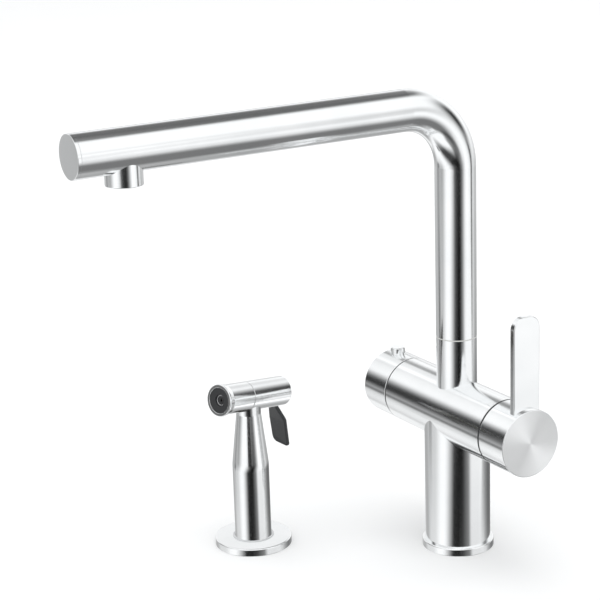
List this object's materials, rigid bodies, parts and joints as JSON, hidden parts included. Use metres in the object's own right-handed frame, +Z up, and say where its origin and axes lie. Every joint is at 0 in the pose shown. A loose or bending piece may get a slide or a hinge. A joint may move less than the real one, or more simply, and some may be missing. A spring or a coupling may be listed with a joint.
{
  "type": "kitchen mixer with side spray",
  "caption": "T-shaped deck mixer with an L-shaped swivel spout, a lever with an upright blade, a filtered-water knob, and a separate hand spray with a trigger in its own holder.",
  "frame": {"origin": "centre of the mixer's base ring, on the worktop's surface", "axes": "+Z up, -Y along the spout towards the user, +X towards the mixer lever"},
  "size_m": [0.1947, 0.3045, 0.3885],
  "materials": {
    "chrome": "polished",
    "steel": "stainless",
    "brass": "machined",
    "rubber": "matt",
    "white_plastic": "moulded",
    "grey_plastic": "moulded",
    "black_plastic": "satin",
    "collar_plastic": "glossy",
    "ceramic": "lapped ceramic"
  },
  "bodies": {
    "mixer_body": {"main_body": "chrome", "base_ring": "chrome", "base_seal": "rubber", "mounting_shank": "brass", "shank_rubber_washer": "rubber", "shank_steel_washer": "steel", "shank_nut": "brass", "spout_slide_ring": "white_plastic", "spout_set_screw": "steel", "diverter_body": "white_plastic", "diverter_cap": "white_plastic", "diverter_spring": "steel", "cartridge_seals": "rubber", "cartridge_base": "white_plastic", "cartridge_housing": "white_plastic", "fixed_ceramic_disc": "ceramic", "cartridge_nut": "brass", "hub_guide_ring": "black_plastic", "valve_seat_seal": "rubber", "valve_headwork": "brass", "valve_fixed_disc": "ceramic", "spray_holder": "chrome", "holder_seal": "rubber", "holder_insert": "collar_plastic", "holder_washer": "rubber", "holder_nut": "brass"},
    "diverter": {"diverter_piston": "grey_plastic"},
    "spout": {"spout_tube": "chrome", "spout_end_cap": "chrome", "swivel_spigot": "brass", "spout_o_rings": "rubber", "aerator_socket": "chrome", "aerator_washer": "rubber", "aerator_screen": "steel", "aerator_body": "grey_plastic"},
    "mixer_lever": {"lever_hub": "chrome", "lever_blade": "chrome", "hub_screw": "steel", "cartridge_stem": "grey_plastic", "moving_ceramic_disc": "ceramic"},
    "filter_control": {"filter_knob": "chrome", "knob_pin": "chrome", "knob_screw": "steel", "valve_spindle": "brass", "valve_moving_disc": "ceramic"},
    "spray_coupling": {"hose_coupling": "chrome", "coupling_o_ring": "rubber"},
    "handset": {"spray_handle": "chrome", "spray_head_rear": "chrome", "spray_head_front": "chrome", "spray_valve_body": "white_plastic", "nozzle_insert": "white_plastic", "spray_face": "black_plastic", "jet_nozzle": "steel", "trigger_pin": "steel"},
    "trigger": {"spray_trigger": "black_plastic"},
    "valve_stem": {"valve_rod": "steel", "valve_washer": "rubber", "return_spring": "steel"}
  },
  "joints": [
    {"name": "spout_swivel", "type": "hinge", "parent": "mixer_body", "child": "spout", "pos_m": [0, 0, 0.1533], "axis": [0, 0, 1], "continuous": true},
    {"name": "mixer_lever_turn", "type": "hinge", "parent": "mixer_body", "child": "mixer_lever", "pos_m": [0.0554, 0, 0.0995], "axis": [1, 0, 0], "range_deg": [0, 110]},
    {"name": "filter_knob_turn", "type": "hinge", "parent": "mixer_body", "child": "filter_control", "pos_m": [-0.0554, 0, 0.0995], "axis": [1, 0, 0], "range_deg": [0, 90]},
    {"name": "diverter_slide", "type": "slide", "parent": "mixer_body", "child": "diverter", "axis": [0, 0, 1], "range_m": [0, 0.003], "stiffness_N_per_m": 50, "springref_m": -0.004, "deforming": ["diverter_spring"]},
    {"name": "spray_lift", "type": "slide", "parent": "mixer_body", "child": "spray_coupling", "axis": [0, 0, 1], "range_m": [0, 0.15]},
    {"name": "handset_turn", "type": "hinge", "parent": "spray_coupling", "child": "handset", "pos_m": [-0.085, -0.1185, 0], "axis": [0, 0, 1], "continuous": true},
    {"name": "trigger_squeeze", "type": "hinge", "parent": "handset", "child": "trigger", "pos_m": [-0.09083, -0.09941, 0.10175], "axis": [-0.9563, -0.2924, 0], "range_deg": [0, 18], "stiffness_Nm_per_rad": 0.05, "springref_deg": -17.19},
    {"name": "valve_rod_slide", "type": "slide", "parent": "handset", "child": "valve_stem", "axis": [-0.2889, 0.945, -0.153], "range_m": [0, 0.00165]}
  ],
  "couplings": [
    {"joint": "valve_rod_slide", "follows": "trigger_squeeze", "m_per_rad": 0.0052}
  ]
}
